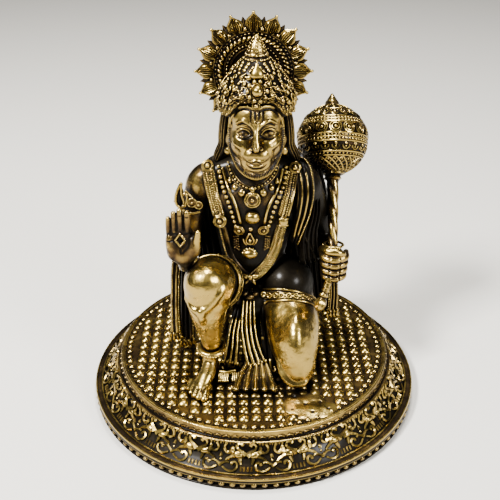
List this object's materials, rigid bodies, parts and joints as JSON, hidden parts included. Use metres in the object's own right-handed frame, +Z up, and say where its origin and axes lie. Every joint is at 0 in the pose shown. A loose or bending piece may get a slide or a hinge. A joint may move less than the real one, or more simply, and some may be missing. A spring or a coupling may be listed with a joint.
{
  "type": "hanuman figure",
  "caption": "Cast brass figure of a kneeling, monkey-faced deity with a raised palm, a round-headed mace and a petalled halo, on a round stepped plinth with a beaded rim.",
  "frame": {"origin": "centre of the round plinth's underside", "axes": "+Z up, -Y the way the figure faces, +X towards the hand that holds the mace"},
  "size_m": [0.0882, 0.0882, 0.1018],
  "materials": {
    "antique_brass": "antique: brown-black patina in the hollows, rubbed bright on the high places"
  },
  "bodies": {
    "root": {"plinth": "antique_brass", "figure": "antique_brass", "mace": "antique_brass", "halo": "antique_brass"}
  },
  "joints": []
}
